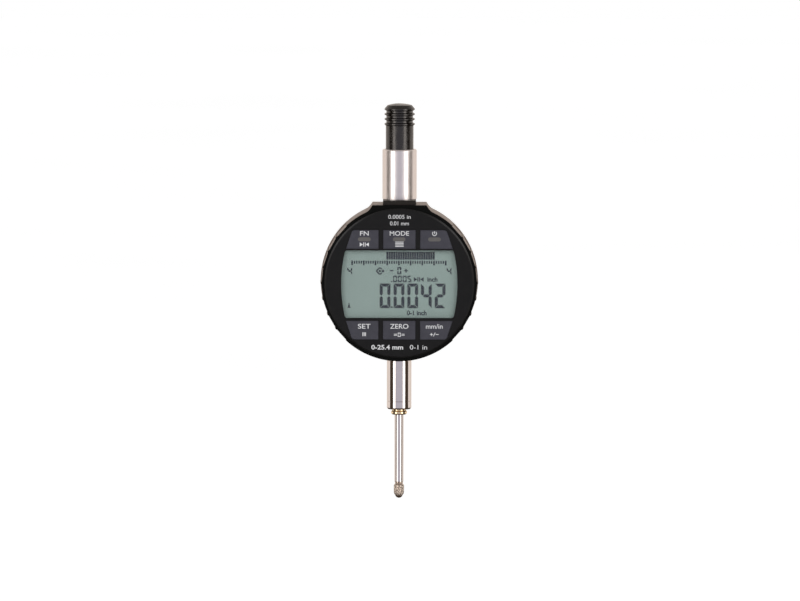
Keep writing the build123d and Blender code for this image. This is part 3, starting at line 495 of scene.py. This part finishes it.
# two facing arrows
for side in (-1, 1):
    tip = 7.45 + side * 0.55
    small.append([(tip + side * 1.35, 2.4), (tip, 1.5), (tip + side * 1.35, 0.6)])
    small.append(bar(7.45 + side * 0.33, 1.5, 0.4, 1.75))
# small stamp shape at the lower left
small += [[(-19.95, -9.5), (-18.65, -9.5), (-19.1, -8.3), (-19.5, -8.3)], bar(-19.3, -8.1, 0.4, 0.7)]
prints("lcd_marks", small, *on_lcd)

large = []
for char, x in zip("00042", (-7.55, -2.2, 3.08, 8.3, 13.6)):
    large += digit(char, x, -9.6, 4.15, 9.5, 1.22, 0.1)
large += [bar(-2.88, -9.2, 0.62, 0.66)]
prints("lcd_reading", large, *on_lcd)
lettering("lcd_unit", "inch", 12.7, 0.7, 1.75, 3.9, *on_lcd, LCD_WEIGHT)
lettering("lcd_word", "0-1 inch", 6.7, -12.25, 1.8, 7.6, *on_lcd, LCD_WEIGHT)

# Keys: one generic label each, a grey bar on the top row, and a plain sign
TOP, BOTTOM = 18.47, -17.36  # base lines of the labels
SIDE = 13.45  # middle of the outer keys
TOP_HIGH, BOTTOM_HIGH = 1.68, 1.8  # heights of their letters


def label(key, text, x, z, height, width, weight):
    name = key.replace("key_", "label_")
    lettering(name, text, x, z, height, width, KEY_FACE, print_white, key, "light_print", weight)


label("key_tolerance", "FN", -SIDE, TOP, TOP_HIGH, 3.3, 0.006)
label("key_max_min", "MODE", 0, TOP, TOP_HIGH, 7.4, 0.004)
label("key_preset", "SET", -SIDE, BOTTOM, BOTTOM_HIGH, 4.8, 0.006)
label("key_data", "ZERO", 0, BOTTOM, BOTTOM_HIGH, 7.0, 0.006)
label("key_reset", "mm/in", SIDE, BOTTOM, BOTTOM_HIGH, 6.4, 0.004)

for key, x in (("key_tolerance", -SIDE), ("key_max_min", -0.1), ("key_power", SIDE)):
    name = key.replace("key_", "bar_")
    prints(name, [pill(x, 17.0, 4.9, 1.55)], KEY_FACE, print_pill, key, "key_plastic")

signs = {
    "key_tolerance": [
        [(-SIDE - 1.75, 14.25), (-SIDE - 0.55, 15.0), (-SIDE - 1.75, 15.75)],
        [(-SIDE + 1.75, 15.75), (-SIDE + 0.55, 15.0), (-SIDE + 1.75, 14.25)],
        bar(-SIDE - 0.32, 15.0, 0.28, 1.6),
        bar(-SIDE + 0.32, 15.0, 0.28, 1.6),
    ],
    "key_max_min": [bar(0, 14.28 + 0.56 * i, 3.2, 0.27) for i in range(4)],
    "key_power": [arc_band(SIDE, 19.25, 0.78, 0.26, -235, 55), bar(SIDE, 19.65, 0.26, 1.0)],
    "key_preset": [bar(-SIDE + 0.52 * i, -19.55, 0.3, 1.45) for i in (-1, 0, 1)],
    "key_data": [bar(x, z, 1.2, 0.22) for x in (-1.45, 1.45) for z in (-19.5, -19.95)]
    + digit("0", -0.55, -20.5, 1.1, 1.55, 0.26, 0.0),
    "key_reset": [
        cross(SIDE - 1.1, -19.6, 1.1, 0.26),
        stroke(SIDE - 0.35, -20.3, SIDE + 0.35, -18.9, 0.26),
        bar(SIDE + 1.1, -19.6, 1.1, 0.26),
    ],
}
for key, shapes in signs.items():
    prints(key.replace("key_", "sign_"), shapes, KEY_FACE, print_white, key, "light_print")

# Plain resolution and range figures above the keys and below the window
on_face = (FACE, print_white, DISPLAY, "light_print")
lettering("step_in", "0.0005 in", 0, 24.9, 1.5, 8.6, *on_face)
lettering("step_mm", "0.01 mm", 0, 22.4, 1.5, 7.2, *on_face)
lettering("range_mm", "0-25.4 mm", -4.6, -25.4, 1.75, 12.2, *on_face, 0.02)
lettering("range_in", "0-1 in", 7.4, -25.4, 1.75, 6.6, *on_face)

# ---------------------------------------------------------------- knurled contact point


def skinned(name, rings, look, body):
    """Smooth closed piece over rings of points."""
    bm = bmesh.new()
    loops = [[bm.verts.new(point) for point in ring] for ring in rings]
    for low, high in zip(loops, loops[1:]):
        for i in range(len(low)):
            j = (i + 1) % len(low)
            bm.faces.new((low[i], low[j], high[j], high[i]))
    bm.faces.new(list(reversed(loops[0])))
    bm.faces.new(loops[-1])
    made = piece(name, finished(name, bm), look, body)
    for face in made.data.polygons:
        face.use_smooth = True
    return made


point_low, point_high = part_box("contact_point")
spindle_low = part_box("spindle")[0]
POINT_R = (point_high.x - point_low.x) / 2
NECK_R = 1.55 * MM
FOOT_R = 1.35 * MM  # flat ring round the ball
KNURL_TOP = spindle_low.z - 1.0 * MM
KNURL_LOW = point_low.z
DIAMONDS = 26  # round the point
PITCH = 0.5 * MM  # height of a diamond
GROOVE = 0.16 * MM
LAYERS = 84


def knurl(r, a, z):
    """Radius with the diamond knurling, which fades out near both ends of the contact point."""
    share = (z - KNURL_LOW) / (KNURL_TOP - KNURL_LOW)
    fade = min(1.0, max(0.0, (share - 0.04) / 0.06)) * min(1.0, max(0.0, (0.93 - share) / 0.04))
    if fade <= 0 or r < POINT_R * 0.6:
        return r
    turn, rise = a / (2 * pi) * DIAMONDS, (z - KNURL_LOW) / PITCH
    left, right = (turn + rise) % 1.0, (turn - rise) % 1.0
    groove = min(abs(left - 0.5), abs(right - 0.5)) * 2
    return r - fade * GROOVE * (1 - min(1.0, groove * 1.4))


# Radius and height up the point: a flat foot, a rounded lower end, a small crown and the neck
outline = [(FOOT_R, KNURL_LOW)]
for i in range(LAYERS + 1):
    s = i / LAYERS
    z = KNURL_LOW + (KNURL_TOP - KNURL_LOW) * s
    taper = 0.42 * MM * max(0.0, 1 - s / 0.28) ** 2
    crown = 0.28 * MM * max(0.0, (s - 0.92) / 0.08) ** 1.5
    outline.append((POINT_R - taper - crown, z))
outline += [(NECK_R, KNURL_TOP), (NECK_R, spindle_low.z - 0.05 * MM), (NECK_R - 0.12 * MM, spindle_low.z)]
turns = [2 * pi * i / (DIAMONDS * 8) for i in range(DIAMONDS * 8)]
rings = [[(knurl(r, a, z) * cos(a), knurl(r, a, z) * sin(a), z) for a in turns] for r, z in outline]
tip = skinned("contact_knurled", rings, knurl_steel, "spindle")
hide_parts("contact_point")

# ---------------------------------------------------------------- return spring

coil_low, coil_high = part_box("return_spring")
WIRE = 0.175 * MM  # radius
TURNS, SIDES, STEPS = 13, 8, 32  # sides of the wire, and steps in each turn
coil_r = (coil_high.x - coil_low.x) / 2 - WIRE
rise = (coil_high.z - coil_low.z - 2 * WIRE) / (2 * pi * TURNS)  # for each radian of turn
slope = (1 + (rise / coil_r) ** 2) ** 0.5
turns = [2 * pi * j / SIDES for j in range(SIDES)]
rings = []
for i in range(TURNS * STEPS + 1):
    a = 2 * pi * i / STEPS
    outward = Vector((cos(a), sin(a), 0))
    across = Vector((sin(a) * rise / coil_r, -cos(a) * rise / coil_r, 1)) / slope
    middle = outward * coil_r + Vector((0, 0, coil_low.z + WIRE + rise * a))
    rings.append([middle + outward * WIRE * cos(t) + across * WIRE * sin(t) for t in turns])
coil = skinned("return_coil", rings, ground_steel, "housing")
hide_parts("return_spring")
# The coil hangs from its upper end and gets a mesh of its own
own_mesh(coil)

# ---------------------------------------------------------------- floor, light and camera

DROP = 0.21  # m from the object down to the floor, as no shadow shows in the photo
FLOOR = cad_box[0].z - DROP
bpy.ops.mesh.primitive_circle_add(vertices=96, radius=9, fill_type="NGON", location=(0, 0, FLOOR))
floor = bpy.context.object
floor.name = "floor"
paper = bpy.data.materials.new("pale_floor")
n = Nodes(paper, "ShaderNodeOutputMaterial")
tone = n.ramp(n.noise(3), [(0.3, (0.80, 0.80, 0.80)), (0.7, (0.82, 0.82, 0.82))])
matte = n.add("ShaderNodeBsdfDiffuse", {"Color": tone})
lit = n.add("ShaderNodeAddShader", {0: matte, 1: n.add("ShaderNodeEmission", {"Strength": 0.42})})
n.put(n.blend(n.in_view(), matte, lit), n.end)
floor.data.materials.append(paper)
floor.visible_glossy = False

# The world is white to the camera. Metal reflects a studio: two tall soft boxes with dark
# gaps beside them, a dim room behind the camera, and the pale backdrop.
world = bpy.data.worlds.new("studio")
bpy.context.scene.world = world
n = Nodes(world, "ShaderNodeOutputWorld")
way = n.add("ShaderNodeSeparateXYZ", {0: n.places["Generated"]}).node.outputs
heading = n.math("ABSOLUTE", n.math("ARCTAN2", way["X"], n.math("MULTIPLY", way["Y"], -1.0)))
round_about = n.math("DIVIDE", heading, pi)
height = n.math("ADD", n.math("MULTIPLY", way["Z"], 0.5), 0.5)

# Tones by the angle in degrees from the camera's side, the same to the left and to the right
ROOM, GAP = (0.67, 0.66, 0.75), (0.07, 0.05, 0.034)
EDGE, BACK = (1.25, 1.15, 1.08), (1.0, 0.90, 0.82)
OFF, ON = (0, 0, 0), (1, 1, 1)
stops = [(0, ROOM), (30, ROOM), (37, GAP), (92, GAP), (99, EDGE), (108, EDGE), (118, BACK), (180, BACK)]
studio = n.ramp(round_about, [(angle / 180, colour) for angle, colour in stops])
stops = [(0, OFF), (34, OFF), (38, ON), (55, ON), (58, OFF)]
boxes = n.ramp(round_about, [(angle / 180, colour) for angle, colour in stops])

# Masks by height, from 0 straight down to 1 straight up
below = n.ramp(height, [(0.0, OFF), (0.30, OFF), (0.40, ON)])
above = n.ramp(height, [(0.72, OFF), (0.9, ON)])
box_height = n.ramp(height, [(0.0, OFF), (0.25, OFF), (0.30, ON), (0.80, ON), (0.86, OFF)])

GROUND, CEILING = (0.08, 0.065, 0.05, 1), (0.36, 0.33, 0.31, 1)
WHITE, LAMP = (1, 1, 1, 1), (1, 0.965, 0.94, 1)
mirrored = n.mix(above, n.mix(below, GROUND, studio), CEILING)
brightness = n.math("MULTIPLY", n.math("MULTIPLY", boxes, box_height), 3.4)
room = n.add("ShaderNodeBackground", {"Color": mirrored, "Strength": 1.0})
lamps = n.add("ShaderNodeBackground", {"Color": LAMP, "Strength": brightness})
soft = n.add("ShaderNodeBackground", {"Color": WHITE, "Strength": 0.72})
white = n.add("ShaderNodeBackground", {"Color": WHITE, "Strength": 1.0})
shine = n.add("ShaderNodeAddShader", {0: room, 1: lamps})
glossy = n.tree.nodes.new("ShaderNodeLightPath").outputs["Is Glossy Ray"]
n.put(n.blend(n.in_view(), n.blend(glossy, soft, shine), white), n.end)


def soft_box(name, azimuth, elevation, distance, size, energy):
    """Area lamp aimed at the height of the display's centre. Azimuth starts at the camera's side."""
    lamp = bpy.data.lights.new(name, "AREA")
    lamp.shape = "RECTANGLE"
    lamp.size, lamp.size_y = size
    lamp.energy = energy
    holder = bpy.data.objects.new(name, lamp)
    bpy.context.scene.collection.objects.link(holder)
    a, e = radians(azimuth), radians(elevation)
    way_out = Vector((sin(a) * cos(e), -cos(a) * cos(e), sin(e)))
    holder.location = Vector((0, 0, CZ)) + way_out * distance
    holder.rotation_mode = "QUATERNION"
    holder.rotation_quaternion = (-way_out).to_track_quat("-Z", "Y")
    holder.visible_camera = False


for name, azimuth in (("lamp_left", -50), ("lamp_right", 50)):
    soft_box(name, azimuth, 28, 0.9, (0.35, 0.5), 2.6)
soft_box("lamp_top", 160, 62, 1.0, (0.5, 0.4), 2.4)

# Camera: far away with a long lens, slightly above the display
camera_data = bpy.data.cameras.new("camera")
camera_data.sensor_width = 36
camera_data.clip_end = 60
camera = bpy.data.objects.new("camera", camera_data)
bpy.context.scene.collection.objects.link(camera)
bpy.context.scene.camera = camera
DISTANCE, TILT, ROLL = 2.8, 4.75, 0.12  # m, and degrees
VIEW_WIDTH = 0.308523  # m across the picture at that distance
camera_data.lens = camera_data.sensor_width * DISTANCE / VIEW_WIDTH
aim = Vector((0.27 * MM, 0, 31.4 * MM))
back = Vector((0, -cos(radians(TILT)), sin(radians(TILT))))
camera.location = aim + back * DISTANCE
camera.rotation_mode = "QUATERNION"
upright = (-back).to_track_quat("-Z", "Y")
camera.rotation_quaternion = upright @ Quaternion((0, 0, 1), radians(ROLL))

bpy.context.scene.view_settings.view_transform = "Standard"
